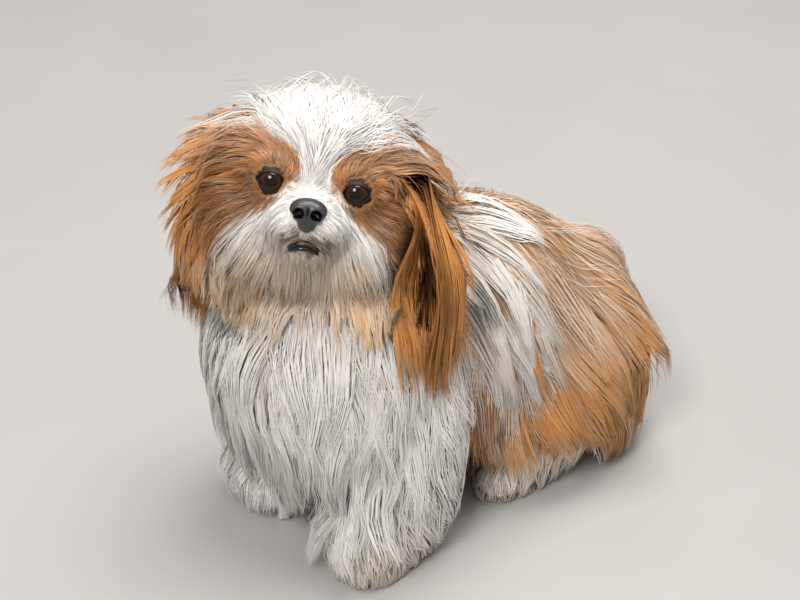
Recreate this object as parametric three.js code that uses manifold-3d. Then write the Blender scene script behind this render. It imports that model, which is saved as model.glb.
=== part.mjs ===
// A sitting shih tzu, life size, looking up and round to its left. Millimetres, +Z up.
// The chest faces -Y, the dog's left side is +X and the floor is z = 0.
import * as THREE from "three";
import { ConvexGeometry } from "three/addons/geometries/ConvexGeometry.js";
import { mergeVertices } from "three/addons/utils/BufferGeometryUtils.js";
import Module from "manifold-3d";

const wasm = await Module();
wasm.setup();

// Driving dimensions.
const GAP = 0.3; // between touching nodes
const EYE_SPACING = 56;
const EYE_RADIUS = 10.5;
const EYE_AT = [EYE_SPACING / 2, -33, 0]; // in the head's frame
const LID = 1.9; // thickness of an eyelid
const NOSE_AT = [0, -65, -13];
const MOUTH_AT = [0, -62, -36];
const HEAD_YAW = 47; // degrees, towards the dog's left
const HEAD_PITCH = 28; // degrees, upwards
const HEAD_ROLL = 8; // degrees, left side down
const HEAD_AT = [-26, -54, 283]; // centre of the skull
const PAW_SPREAD = 53; // from the midline to a front paw
const PAW_FRONT = { left: -92, right: -84 }; // y of the front toes' knuckles
const CORE_SHARE = 0.5; // of the coat's depth that a node's smooth core takes in
const SUNK = 5; // depth of a lock's root below the core's face
const LOCK_STEPS = 4; // bends in a lock
const SWAY = 0.6; // how much of its own way a lock takes at each bend, the rest is kept
const CLEARANCE = 2.5; // of a lock's middle line from the forms it passes
const TIP_HEIGHT = 1; // of the lowest tips above the floor
const ROOM = 0.5; // that other nodes leave round a lock, measured along the axes

const V = (x, y, z) => new THREE.Vector3(x, y, z);
const radians = THREE.MathUtils.degToRad;
const smooth = THREE.MathUtils.smoothstep;
const SIDES = [
  ["left", 1],
  ["right", -1],
];

// Distance fields. Each is a function of a point that is negative inside the form.
function ellipsoid([cx, cy, cz], [rx, ry, rz]) {
  return (p) => {
    const x = p.x - cx;
    const y = p.y - cy;
    const z = p.z - cz;
    const near = Math.hypot(x / rx, y / ry, z / rz);
    const slope = Math.hypot(x / (rx * rx), y / (ry * ry), z / (rz * rz));
    return slope < 1e-9 ? -Math.min(rx, ry, rz) : (near * (near - 1)) / slope;
  };
}

function capsule(a, b, ra, rb) {
  const start = V(...a);
  const along = V(...b).sub(start);
  const squared = along.lengthSq();
  return (p) => {
    const toPoint = p.clone().sub(start);
    const t = Math.min(1, Math.max(0, toPoint.dot(along) / squared));
    return toPoint.addScaledVector(along, -t).length() - (ra + (rb - ra) * t);
  };
}

function blend(softness, ...fields) {
  return (p) =>
    fields
      .map((field) => field(p))
      .reduce((a, b) => {
        const h = Math.max(softness - Math.abs(a - b), 0) / softness;
        return Math.min(a, b) - (h * h * softness) / 4;
      });
}

const grown = (field, by) => (p) => field(p) - by;
const coated = (field, depth, share = 1) => (p) => field(p) - depth(p) * share;
const aboveFloor = (field) => (p) => Math.max(field(p), -p.z);

// The way out of a form at a point.
function outward(field, p) {
  const step = 0.5;
  const slope = (x, y, z) => field(V(p.x + x, p.y + y, p.z + z)) - field(V(p.x - x, p.y - y, p.z - z));
  return V(slope(step, 0, 0), slope(0, step, 0), slope(0, 0, step)).normalize();
}

// Where a ray from inside a form leaves it.
function surfacePoint(field, middle, ray) {
  const along = (distance) => middle.clone().addScaledVector(ray, distance);
  let inside = 0;
  let outside = 4;
  while (field(along(outside)) < 0) outside += 4;
  for (let k = 0; k < 22; k++) {
    const half = (inside + outside) / 2;
    if (field(along(half)) < 0) inside = half;
    else outside = half;
  }
  return along(outside);
}

// The closed surface where a field is zero, as seen from a point inside it. Its
// poles lie along Y, or along Z where `upright`.
function wrap(centre, field, columns, rows, upright = true) {
  const geometry = new THREE.SphereGeometry(1, columns, rows);
  if (upright) geometry.rotateX(Math.PI / 2);
  const position = geometry.getAttribute("position");
  const middle = V(...centre);
  for (let i = 0; i < position.count; i++) {
    const ray = V(0, 0, 0).fromBufferAttribute(position, i).normalize();
    const point = surfacePoint(field, middle, ray);
    position.setXYZ(i, point.x, point.y, Math.abs(point.z) < 0.01 ? 0 : point.z);
  }
  return geometry;
}

// A closed skin over rings of points. The last ring may be a single point.
function skinOver(rings) {
  const sides = rings[0].length;
  const triangles = [];
  const last = rings.length - 1;
  for (let i = 0; i < last; i++)
    for (let j = 0; j < sides; j++) {
      const k = (j + 1) % sides;
      const pointed = rings[i + 1].length === 1;
      if (pointed) triangles.push(rings[i][j], rings[i][k], rings[i + 1][0]);
      else triangles.push(rings[i][j], rings[i][k], rings[i + 1][k]);
      if (!pointed) triangles.push(rings[i][j], rings[i + 1][k], rings[i + 1][j]);
    }
  for (let j = 1; j + 1 < sides; j++) triangles.push(rings[0][0], rings[0][j + 1], rings[0][j]);
  for (let j = 1; j + 1 < rings[last].length; j++)
    triangles.push(rings[last][0], rings[last][j], rings[last][j + 1]);
  return new THREE.BufferGeometry().setFromPoints(triangles);
}

// A solid over rings of points, each span of it filled out so that it has no folds.
// With `room` it is larger all round.
function hullOver(rings, room = 0) {
  const shifts = [V(1, 0, 0), V(0, 1, 0), V(0, 0, 1)].flatMap((axis) => [
    axis.clone().multiplyScalar(room),
    axis.clone().multiplyScalar(-room),
  ]);
  const roomy = (ring) => ring.flatMap((point) => shifts.map((shift) => point.clone().add(shift)));
  const corners = room > 0 ? rings.map(roomy) : rings;
  const spans = corners.slice(1).map((ring, i) => new ConvexGeometry([...corners[i], ...ring]));
  return union(spans.map(toSolid));
}

// The rings of a strip with an oval section. `hollow` dishes its inner face in.
function stripRings(strip, steps, sides, hollow = 0) {
  const rings = [];
  for (let i = 0; i <= steps; i++) {
    const { across, out, centre } = stripFrame(strip, i / steps);
    const [width, thickness] = strip.size(i / steps);
    rings.push(
      Array.from({ length: sides }, (_, j) => {
        const angle = (j / sides) * 2 * Math.PI;
        const rise = Math.sin(angle);
        const dish = rise < 0 ? 1 + hollow * rise : 1;
        return centre
          .clone()
          .addScaledVector(across, Math.cos(angle) * width)
          .addScaledVector(out, rise * thickness * dish);
      }),
    );
  }
  return rings;
}

// Geometry to solid and back.
function toSolid(geometry) {
  const bare = geometry.index ? geometry.toNonIndexed() : geometry.clone();
  bare.deleteAttribute("normal");
  bare.deleteAttribute("uv");
  const merged = mergeVertices(bare, 1e-4);
  return new wasm.Manifold(
    new wasm.Mesh({
      numProp: 3,
      vertProperties: merged.getAttribute("position").array,
      triVerts: new Uint32Array(merged.index.array),
    }),
  );
}

function toGeometry(solid) {
  const mesh = solid.getMesh();
  const geometry = new THREE.BufferGeometry();
  geometry.setAttribute("position", new THREE.BufferAttribute(mesh.vertProperties, 3));
  geometry.setIndex(new THREE.BufferAttribute(mesh.triVerts, 1));
  geometry.computeVertexNormals();
  return geometry;
}

const union = (solids) => wasm.Manifold.union(solids);
const largest = (solid) =>
  solid.decompose().reduce((a, b) => (b.volume() > a.volume() ? b : a));
const ball = ([x, y, z], [rx, ry, rz], columns, rows) =>
  toSolid(new THREE.SphereGeometry(1, columns, rows).scale(rx, ry, rz).translate(x, y, z));

// Numbers from 0 to 1 that look random and are the same in each run.
function seeded(seed) {
  let state = seed * 7919 + 17;
  return () => {
    state = (state * 1103515245 + 12345) % 2147483648;
    return state / 2147483648;
  };
}

// The centre line of a lock that grows from `root` on `skin` and lies along the coat.
// `lie(point, normal)` is the way it is combed, `height(t, point)` how far it stands off
// the skin, and it is bent clear of the forms in `clear` and of the floor. Under the
// body it hangs.
function comb({ root, skin, length, lie, height, clear = [], sunk = SUNK }) {
  const normals = [outward(skin, root)];
  const points = [root.clone().addScaledVector(normals[0], -sunk)];
  const at = root.clone();
  let before = null;
  for (let k = 1; k <= LOCK_STEPS; k++) {
    const t = k / LOCK_STEPS;
    const normal = outward(skin, at);
    const way = lie(at, normal);
    way.addScaledVector(normal, -way.dot(normal)).normalize();
    const under = normal.z < -0.2;
    if (under) way.lerp(V(0, 0, -1), 0.6).normalize();
    if (before) way.lerp(before, 1 - SWAY).normalize();
    before = way.clone();
    at.addScaledVector(way, length / LOCK_STEPS);
    const off = height(t, at) - skin(at);
    const fall = under ? 0 : 0.7;
    at.addScaledVector(outward(skin, at), off > 0 ? off : off * fall);
    for (const form of clear) {
      const short = CLEARANCE - form(at);
      if (short > 0) at.addScaledVector(outward(form, at), short);
    }
    at.z = Math.max(at.z, 3 * (1 - t) + TIP_HEIGHT);
    points.push(at.clone());
    normals.push(outward(skin, at));
  }
  return { points, normals };
}

// The rings of a lock: flat, tapered and bent, with a ridge down its outer face and a
// pointed tip.
function lockRings({ points, normals }, width, thickness) {
  const last = points.length - 1;
  let before = null;
  return points.map((point, i) => {
    const t = i / last;
    const normal = normals[i];
    const way = points[Math.min(last, i + 1)].clone().sub(points[Math.max(0, i - 1)]).normalize();
    const across = way.clone().cross(normal).normalize();
    if (before && across.dot(before) < 0) across.negate();
    before = across;
    const out = across.clone().cross(way).normalize();
    if (i === last) return [point];
    const spread = (0.62 + 0.38 * Math.sin(Math.PI * Math.min(1, t * 1.5))) * (1 - t ** 3);
    const half = (width * spread) / 2;
    const thick = (thickness * (1 - 0.6 * t)) / 2;
    return [
      point.clone().addScaledVector(across, half).addScaledVector(out, -thick * 0.6),
      point.clone().addScaledVector(across, -half).addScaledVector(out, -thick * 0.6),
      point.clone().addScaledVector(out, thick),
    ];
  });
}

// The head's own frame: it faces -Y there, with the eyes at z = 0.
const headPlace = new THREE.Matrix4()
  .makeTranslation(...HEAD_AT)
  .multiply(
    new THREE.Matrix4().makeRotationFromEuler(
      new THREE.Euler(-radians(HEAD_PITCH), radians(HEAD_ROLL), radians(HEAD_YAW), "ZXY"),
    ),
  );
const toHead = headPlace.clone().invert();
const onHead = (field) => (p) => field(p.clone().applyMatrix4(toHead));
const headPoint = (x, y, z) => V(x, y, z).applyMatrix4(headPlace);
const inWorld = (solid) => solid.transform(headPlace.elements);

// Torso.
const torsoFlesh = blend(
  28,
  ellipsoid([-5, -41, 146], [56, 55, 76]),
  ellipsoid([-2, -8, 186], [46, 50, 40]),
  ellipsoid([2, 52, 138], [56, 78, 66]),
  ellipsoid([10, 120, 76], [73, 64, 72]),
);
const torsoCoat = (p) => {
  const front = 1 - smooth(p.y, -80, -10);
  const right = 1 - smooth(p.x, -70, 10);
  const low = 1 - smooth(p.z, 20, 110);
  const hem = 1 - smooth(p.z, 0, 34);
  return 26 + 14 * front + 16 * front * right + 8 * low * (1 - front) - 14 * hem;
};
const torsoTips = aboveFloor(coated(torsoFlesh, torsoCoat));

// Neck.
const neckFlesh = capsule([-4, -26, 205], [-20, -46, 262], 44, 40);
const NECK_COAT = 20;
const NECK_MIDDLE = V(-12, -36, 234);

// Head, in its own frame.
const [eyeX, eyeY, eyeZ] = EYE_AT;
const headFlesh = blend(
  10,
  ellipsoid([0, 4, 6], [47, 46, 42]),
  ellipsoid([25, -14, -20], [25, 27, 24]),
  ellipsoid([-25, -14, -20], [25, 27, 24]),
  ellipsoid([eyeX, eyeY + 4, eyeZ + 1], [17, 13, 15]),
  ellipsoid([-eyeX, eyeY + 4, eyeZ + 1], [17, 13, 15]),
  ellipsoid([0, -44, -20], [22, 20, 15]),
  ellipsoid([10, -50, -27], [12, 13, 9]),
  ellipsoid([-10, -50, -27], [12, 13, 9]),
  ellipsoid([0, -44, -40], [13, 14, 9]),
);
// 0 on the bare parts of the face and 1 in the full coat.
function furred(p) {
  const eye = Math.hypot(Math.abs(p.x) - eyeX, p.y - eyeY, p.z - eyeZ);
  const nose = Math.hypot(p.x, p.y - NOSE_AT[1], (p.z - NOSE_AT[2]) * 0.8);
  const mouth = Math.hypot(p.x * 0.8, p.y - MOUTH_AT[1], p.z - MOUTH_AT[2]);
  return smooth(eye, 12, 46) * smooth(nose, 14, 62) * smooth(mouth, 10, 52);
}
const headCoat = (p) => furred(p) * (30 + 6 * smooth(-p.z, 10, 60));
const headTips = coated(headFlesh, headCoat);

const HEAD_MIDDLE = [0, -8, -8];
const wrapHead = (field) => toSolid(wrap(HEAD_MIDDLE, field, 28, 20, false));
function buildHead(field) {
  const parts = [wrapHead(field)];
  for (const [, s] of SIDES) {
    const at = [s * eyeX, eyeY, eyeZ];
    const shell = EYE_RADIUS + LID;
    parts.push(ball(at, [shell, shell, shell], 14, 8));
  }
  // Lower lip.
  parts.push(ball([0, -55, -40], [11, 6, 3.2], 16, 10));
  let head = union(parts);
  for (const [, s] of SIDES) {
    const socket = EYE_RADIUS + GAP * 1.7;
    head = head.subtract(ball([s * eyeX, eyeY, eyeZ], [socket, socket, socket], 14, 10));
    head = head.subtract(eyeOpening(s));
  }
  const mouth = ball(MOUTH_AT, [10.5, 12, 1.7], 16, 6);
  return head.subtract(mouth).subtract(toSolid(wrap(NOSE_AT, grown(noseField, GAP * 2.5), 14, 8)));
}

// The almond opening between the lids: two arcs that meet at the corners, drawn out
// to the front.
function eyeOpening(s) {
  const [halfWidth, upper, lower] = [9.2, 7.6, 6.4];
  const steps = 7;
  const outline = [];
  for (let i = 0; i < 2 * steps; i++) {
    const angle = (i / (2 * steps)) * 2 * Math.PI;
    const height = Math.sin(angle) > 0 ? upper : lower;
    outline.push([halfWidth * Math.cos(angle), height * Math.sin(angle)]);
  }
  const turn = radians(12) * s;
  const ring = (y, scale) =>
    outline.map(([x, z]) =>
      V(x * scale, 0, z * scale)
        .applyAxisAngle(V(0, 0, 1), turn)
        .add(V(s * eyeX, y, eyeZ)),
    );
  return toSolid(skinOver([ring(eyeY, 0.5), ring(eyeY - EYE_RADIUS - 8, 1.28)]));
}

const noseField = blend(
  3,
  ellipsoid(NOSE_AT, [11.5, 7, 7]),
  ellipsoid([0, NOSE_AT[1] + 1, NOSE_AT[2] - 5], [6, 6, 5]),
);

// A nostril is a short comma: a round pit with a slit that runs out and down.
function buildNose() {
  let nose = toSolid(wrap(NOSE_AT, noseField, 14, 8));
  for (const [, s] of SIDES) {
    const [x, y, z] = [s * 4.6, NOSE_AT[1] - 6.2, NOSE_AT[2] - 0.5];
    nose = nose.subtract(ball([x, y, z], [2.3, 3.4, 2.1], 8, 6));
    nose = nose.subtract(ball([x + s * 2.6, y + 0.9, z - 1.4], [2.6, 3, 0.9], 6, 4));
  }
  return nose.subtract(ball([0, NOSE_AT[1] - 6.5, NOSE_AT[2] - 5], [0.7, 2.2, 5], 6, 4));
}

// Legs and paws.
function forelegFlesh(side, s) {
  const front = PAW_FRONT[side];
  const toes = [-1.5, -0.5, 0.5, 1.5].map((k) =>
    ellipsoid([s * PAW_SPREAD + k * 9, front - 6 + 3 * Math.abs(k) ** 2, 9], [6, 11, 9]),
  );
  return blend(
    8,
    capsule([s * 40, -38, 120], [s * 48, -50, 70], 22, 17),
    capsule([s * 48, -50, 70], [s * 51, -64, 24], 17, 15),
    ellipsoid([s * PAW_SPREAD, front + 12, 14], [20, 26, 15]),
    ...toes,
  );
}
const forelegCoat = (p) => 10 + 9 * smooth(p.z, 6, 40) + 16 * smooth(p.y, -70, -30);
function hindlegFlesh(s) {
  return blend(
    14,
    ellipsoid([s * 54 + 6, 92, 48], [28, 44, 40]),
    ellipsoid([s * 60 + 5, 60, 13], [19, 34, 14]),
  );
}

// A flat strip of leather, tail bone or skin along a curve: the way that its face
// turns, and its half width and half thickness at each place along it.
const tail = {
  curve: new THREE.CatmullRomCurve3([
    V(8, 150, 84),
    V(8, 180, 104),
    V(12, 182, 130),
    V(26, 166, 146),
    V(48, 148, 147),
    V(76, 142, 130),
    V(94, 148, 106),
  ]),
  face: V(0.55, 0.6, 0.6).normalize(),
  size: (t) => [13 - 6 * t, 11 - 4 * t],
};
const ears = {
  left: earStrip(1, [headPoint(36, 6, 22), headPoint(54, 2, 18), V(72, -28, 262), V(79, -34, 210)]),
  right: earStrip(-1, [headPoint(-36, 6, 22), headPoint(-54, 2, 18), V(-79, -112, 268), V(-85, -117, 222)]),
};
function earStrip(s, points) {
  return {
    curve: new THREE.CatmullRomCurve3(points),
    face: V(s * 0.75, -0.65, 0).applyAxisAngle(V(0, 0, 1), radians(HEAD_YAW)),
    size: (t) => [5 + 18 * Math.sin(Math.PI * (t * 0.85 + 0.12)), 5.5 - 2.5 * t],
  };
}

// The nearest place on a strip: how far along, and the directions across and out there.
function stripFrame({ curve, face }, t) {
  const along = curve.getTangent(t);
  const across = face.clone().cross(along).normalize();
  return { along, across, out: along.clone().cross(across).normalize(), centre: curve.getPoint(t) };
}
function stripField(strip) {
  const frames = Array.from({ length: 25 }, (_, i) => ({ t: i / 24, ...stripFrame(strip, i / 24) }));
  return (p) => {
    const near = frames.reduce((a, b) =>
      b.centre.distanceToSquared(p) < a.centre.distanceToSquared(p) ? b : a,
    );
    const offset = p.clone().sub(near.centre);
    const [width, thickness] = strip.size(near.t);
    const beyond = near.t === 1 ? Math.max(0, offset.dot(near.along)) : 0;
    const flat = Math.hypot(offset.dot(near.across) / width, offset.dot(near.out) / thickness);
    return Math.hypot((flat - 1) * thickness, beyond) * Math.sign(flat - 1 + (beyond > 0 ? 9 : 0));
  };
}

// Assembly. Each node is a core and its locks, cut clear of the nodes built before it.
const built = {};
const clearOf = (solid, names) => names.reduce((rest, name) => rest.subtract(built[name].fat), solid);

function keep(name, solid, fat = solid) {
  built[name] = { solid: largest(solid), fat };
}

// `inner` are the nodes that the core meets face to face.
function build({ name, core, fatCore, locks = [], inner = [] }) {
  const slim = [clearOf(core, inner)];
  const fat = [fatCore];
  const others = Object.keys(built);
  for (const { line, width, thickness } of locks) {
    const rings = lockRings(line, width, thickness);
    slim.push(clearOf(hullOver(rings), others));
    fat.push(hullOver(rings, ROOM));
  }
  keep(name, union(slim), union(fat));
}

// A node whose core was kept as a form of its own until its locks were ready.
function finish(name, coreName, locks) {
  const { solid, fat } = built[coreName];
  delete built[coreName];
  build({ name, core: solid, fatCore: fat, locks });
}

// A node's core and the room round it, wrapped from one point.
const wrapped = (centre, field, columns, rows) => ({
  core: toSolid(wrap(centre, field, columns, rows)),
  fatCore: toSolid(wrap(centre, grown(field, GAP * 1.3), columns, rows)),
});

// Points at equal steps along a closed line.
function evenly(points, count, shift) {
  const line = new THREE.CatmullRomCurve3(points, true);
  line.arcLengthDivisions = points.length * 2;
  return Array.from({ length: count }, (_, i) => line.getPointAt(((i + shift + 1) / count) % 1));
}

// Locks in tiers round a core. A tier is a ring of roots as seen from `middle`: its angle
// above the level, how many there are, and how long and wide they are. `turn` tips the
// rings, and `sparse(root)` leaves a root out.
const NO_TURN = new THREE.Matrix4();
function tiersOfLocks({ seed, middle, turn = NO_TURN, skin, tiers, thickness, lie, room, clear, sparse }) {
  const random = seeded(seed);
  const locks = [];
  tiers.forEach(({ up, count, length, width }, tier) => {
    const rise = radians(up);
    const ring = Array.from({ length: 40 }, (_, i) => {
      const angle = (i / 40) * 2 * Math.PI;
      const ray = V(Math.sin(angle) * Math.cos(rise), -Math.cos(angle) * Math.cos(rise), Math.sin(rise));
      return surfacePoint(skin, middle, ray.transformDirection(turn));
    });
    for (const point of evenly(ring, count, (tier % 2) / 2)) {
      point.add(V(random() - 0.5, random() - 0.5, random() - 0.5).multiplyScalar(width * 0.4));
      const root = surfacePoint(skin, middle, point.sub(middle).normalize());
      const stand = 0.7 + 0.3 * random();
      const long = length * (0.85 + 0.3 * random());
      const wide = width * (0.85 + 0.3 * random());
      if (sparse && sparse(root)) continue;
      const height = (t, p) => stand * t ** 0.7 * Math.max(2, room(p) - thickness * 0.4);
      locks.push({ line: comb({ root, skin, length: long, lie, height, clear }), width: wide, thickness });
    }
  });
  return locks;
}

// Locks in rows along the outer face of a strip, which run on past its end.
function stripLocks({ seed, strip, rows, across, length, width, thickness, stand, lie, clear }) {
  const random = seeded(seed);
  const skin = stripField(strip);
  const locks = [];
  for (const t of rows)
    for (const u of across) {
      const frame = stripFrame(strip, t);
      const [half, thick] = strip.size(t);
      const root = frame.centre
        .clone()
        .addScaledVector(frame.across, u * half)
        .addScaledVector(frame.out, thick * Math.sqrt(1 - u * u) * 0.9);
      const long = length(t) * (0.85 + 0.3 * random());
      const height = (k) => stand * k * (0.6 + 0.4 * random());
      const way = (p) => lie(p, frame, u);
      const line = comb({ root, skin, length: long, lie: way, height, clear, sunk: thick * 0.5 });
      locks.push({ line, width: width * (0.85 + 0.3 * random()), thickness });
    }
  return locks;
}

const torsoCore = aboveFloor(coated(torsoFlesh, torsoCoat, CORE_SHARE));
const headCore = onHead(coated(headFlesh, headCoat, CORE_SHARE));
const legTips = SIDES.map(([side, s]) => coated(forelegFlesh(side, s), forelegCoat));
const hindTips = SIDES.map(([, s]) => grown(hindlegFlesh(s), 8));

// The way that the body's coat lies: it parts along the spine and falls down the sides.
function combTorso(p, normal) {
  const side = Math.sign(p.x + 4);
  const top = Math.max(0, normal.z);
  return V(side * (0.12 + 0.8 * top), 0.22 + 0.2 * top, -1);
}
const TORSO_MIDDLE = V(0, 30, 110);
keep("torso_core", ...Object.values(wrapped(TORSO_MIDDLE.toArray(), torsoCore, 24, 16)));
const bareHead = coated(headFlesh, headCoat, CORE_SHARE);
keep(
  "head_core",
  clearOf(inWorld(buildHead(bareHead)), ["torso_core"]),
  inWorld(wrapHead(grown(bareHead, GAP * 1.3))),
);

const neckCore = grown(neckFlesh, NECK_COAT / 2);
build({
  name: "neck",
  ...wrapped(NECK_MIDDLE.toArray(), neckCore, 12, 8),
  inner: ["torso_core", "head_core"],
  locks: tiersOfLocks({
    seed: 8,
    middle: NECK_MIDDLE,
    skin: neckCore,
    thickness: 7,
    tiers: [{ up: 24, count: 9, length: 50, width: 36 }],
    lie: (p, normal) => V(normal.x * 0.5, normal.y * 0.5, -1),
    room: () => NECK_COAT / 2,
    clear: [grown(torsoCore, 4)],
    sparse: (root) => torsoCore(root) < 5 || headCore(root) < 3,
  }),
});

for (const [side, s] of SIDES) {
  const foreleg = aboveFloor(coated(forelegFlesh(side, s), forelegCoat, CORE_SHARE));
  build({
    name: "foreleg_" + side,
    ...wrapped([s * 50, -64, 44], foreleg, 16, 14),
    inner: ["torso_core"],
    locks: tiersOfLocks({
      seed: 11 + s,
      middle: V(s * 50, -64, 44),
      skin: foreleg,
      thickness: 5,
      tiers: [
        { up: 40, count: 6, length: 44, width: 28 },
        { up: 12, count: 6, length: 38, width: 28 },
        { up: -16, count: 7, length: 26, width: 26 },
      ],
      lie: () => V(s * 0.1, 0.25, -1),
      room: (p) => forelegCoat(p) * (1 - CORE_SHARE),
      sparse: (root) => torsoCore(root) < 4 || root.z < 12,
    }),
  });
  const hind = aboveFloor(grown(hindlegFlesh(s), 4));
  build({
    name: "hindleg_" + side,
    ...wrapped([s * 62 + 5, 80, 36], hind, 14, 10),
    inner: ["torso_core"],
    locks: tiersOfLocks({
      seed: 21 + s,
      middle: V(s * 62 + 5, 72, 26),
      skin: hind,
      thickness: 4,
      tiers: [{ up: 18, count: 9, length: 26, width: 20 }],
      lie: () => V(s * 0.4, -0.3, -1),
      room: () => 5,
      sparse: (root) => torsoCore(root) < 3,
    }),
  });
}

// Torso: the coat parts along the spine and hangs down to the hem.
const torsoLocks = tiersOfLocks({
  seed: 5,
  middle: TORSO_MIDDLE,
  skin: torsoCore,
  thickness: 8,
  tiers: [
    { up: 84, count: 4, length: 80, width: 36 },
    { up: 62, count: 11, length: 86, width: 36 },
    { up: 38, count: 16, length: 96, width: 38 },
    { up: 14, count: 20, length: 92, width: 37 },
    { up: -10, count: 21, length: 78, width: 37 },
    { up: -25, count: 13, length: 46, width: 36 },
  ],
  lie: combTorso,
  room: (p) => torsoCoat(p) * (1 - CORE_SHARE),
  clear: [...legTips, ...hindTips],
  sparse: (root) => root.z < 24 || Math.min(...legTips.map((tips) => tips(root))) < -9 || headCore(root) < 2,
});
finish("torso", "torso_core", torsoLocks);

// Head: blaze, brows, cheeks, moustache and beard grow away from the bridge of the nose.
function combHead(p) {
  const q = p.clone().applyMatrix4(toHead);
  const away = V(q.x, 0, q.z + 10).normalize();
  const crown = smooth(q.z, 0, 40);
  away.y = 0.9 * crown;
  return away.transformDirection(headPlace).addScaledVector(V(0, 0, -1), 0.9 - 0.6 * crown);
}
const headLocks = tiersOfLocks({
  seed: 3,
  middle: headPoint(...HEAD_MIDDLE),
  turn: headPlace.clone().multiply(new THREE.Matrix4().makeRotationX(Math.PI / 2)),
  skin: headCore,
  thickness: 6,
  tiers: [
    { up: 60, count: 9, length: 34, width: 17 },
    { up: 42, count: 9, length: 44, width: 22 },
    { up: 20, count: 10, length: 54, width: 30 },
    { up: -8, count: 10, length: 60, width: 36 },
    { up: -40, count: 8, length: 52, width: 38 },
    { up: -68, count: 4, length: 46, width: 38 },
  ],
  lie: combHead,
  room: (p) => headCoat(p.clone().applyMatrix4(toHead)) * (1 - CORE_SHARE),
  clear: [torsoTips],
  sparse: (root) => {
    const q = root.clone().applyMatrix4(toHead);
    const nearEye = Math.hypot(Math.abs(q.x) - eyeX, q.y - eyeY, q.z - eyeZ) < 27;
    const nearMouth = Math.abs(q.x) < 12 && q.z > MOUTH_AT[2] - 9 && q.z < 10 && q.y < -30;
    return nearEye || nearMouth || torsoTips(root) < -12;
  },
});
finish("head", "head_core", headLocks);
keep("nose", inWorld(buildNose()));

for (const [side, s] of SIDES) {
  keep("eye_" + side, inWorld(ball([s * eyeX, eyeY, eyeZ], Array(3).fill(EYE_RADIUS), 16, 10)));
  const strip = ears[side];
  build({
    name: "ear_" + side,
    core: toSolid(skinOver(stripRings(strip, 7, 8, 0.5))),
    fatCore: hullOver(stripRings(strip, 7, 8), ROOM),
    inner: ["head", "torso", "neck"],
    locks: stripLocks({
      seed: 31 + s,
      strip,
      rows: [0.36, 0.82],
      across: [-0.75, 0, 0.75],
      length: (t) => (s > 0 ? 112 : 88) - 8 * t,
      width: 27,
      thickness: 5,
      stand: 9,
      lie: (p, frame) => frame.along.clone().add(V(0, 0, -1)),
      clear: [torsoTips, onHead(headTips), ...legTips],
    }),
  });
}
build({
  name: "tail",
  core: toSolid(skinOver(stripRings(tail, 8, 8))),
  fatCore: hullOver(stripRings(tail, 8, 8), ROOM),
  inner: ["torso"],
  locks: stripLocks({
    seed: 41,
    strip: tail,
    rows: [0.4, 0.68, 0.95],
    across: [-0.7, 0.7],
    length: (t) => 74 - 10 * t,
    width: 32,
    thickness: 6,
    stand: 12,
    lie: (p, frame, u) => frame.along.clone().addScaledVector(frame.across, u * 0.5).add(V(0.2, 0.1, -0.5)),
    clear: [torsoTips],
  }),
});

// Colours.
const COAT_WHITE = new THREE.MeshStandardMaterial({ color: 0xe9e4dc, roughness: 0.85 });
const COAT_ORANGE = new THREE.MeshStandardMaterial({ color: 0xb9713a, roughness: 0.8 });
const NOSE_LEATHER = new THREE.MeshStandardMaterial({ color: 0x1b1717, roughness: 0.4 });
const EYE_BROWN = new THREE.MeshStandardMaterial({ color: 0x24130b, roughness: 0.08 });
function materialOf(name) {
  if (name === "nose") return NOSE_LEATHER;
  if (name.startsWith("eye")) return EYE_BROWN;
  return name.startsWith("ear") || name === "tail" ? COAT_ORANGE : COAT_WHITE;
}

// The whole dog, with the middle of its footprint at the origin.
const dog = new THREE.Group();
for (const [name, { solid }] of Object.entries(built)) {
  const mesh = new THREE.Mesh(toGeometry(solid), materialOf(name));
  mesh.name = name;
  dog.add(mesh);
}
const middle = new THREE.Box3().setFromObject(dog).getCenter(V(0, 0, 0));
dog.position.set(-middle.x, -middle.y, 0);
export default dog;
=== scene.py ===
# A sitting shih tzu, life size, as a museum shows it. Lengths are millimetres in the
# dog's own frame unless a name says otherwise: the chest faces -Y, its left side is +X,
# the floor is z = 0.
from math import pi, radians

import bpy
import numpy as np
from mathutils import Matrix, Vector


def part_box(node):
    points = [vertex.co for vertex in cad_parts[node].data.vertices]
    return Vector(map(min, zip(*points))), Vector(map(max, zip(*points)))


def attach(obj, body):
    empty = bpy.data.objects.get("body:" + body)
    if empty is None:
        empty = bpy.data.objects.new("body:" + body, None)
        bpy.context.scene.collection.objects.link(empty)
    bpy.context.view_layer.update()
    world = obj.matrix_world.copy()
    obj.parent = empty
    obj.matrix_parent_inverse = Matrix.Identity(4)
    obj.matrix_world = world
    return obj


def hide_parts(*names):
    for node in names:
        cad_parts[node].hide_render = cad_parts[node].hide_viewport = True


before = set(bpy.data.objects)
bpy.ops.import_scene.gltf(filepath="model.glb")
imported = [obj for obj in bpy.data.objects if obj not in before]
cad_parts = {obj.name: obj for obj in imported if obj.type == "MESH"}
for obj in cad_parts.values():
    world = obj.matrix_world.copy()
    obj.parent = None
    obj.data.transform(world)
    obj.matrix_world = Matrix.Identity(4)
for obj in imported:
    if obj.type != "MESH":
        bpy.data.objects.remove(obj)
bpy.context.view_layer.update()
SEED = 20
SIDES = (("left", 1), ("right", -1))

# Head.
HEAD_AT = np.array([-26.0, -54.0, 283.0])
HEAD_YAW, HEAD_PITCH, HEAD_ROLL = 47, 28, 8  # degrees
EYE_X, EYE_Y, EYE_RADIUS = 28.0, -33.0, 10.5
NOSE_AT = (0.0, -65.0, -13.0)
MOUTH_AT = (0.0, -62.0, -36.0)
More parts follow.
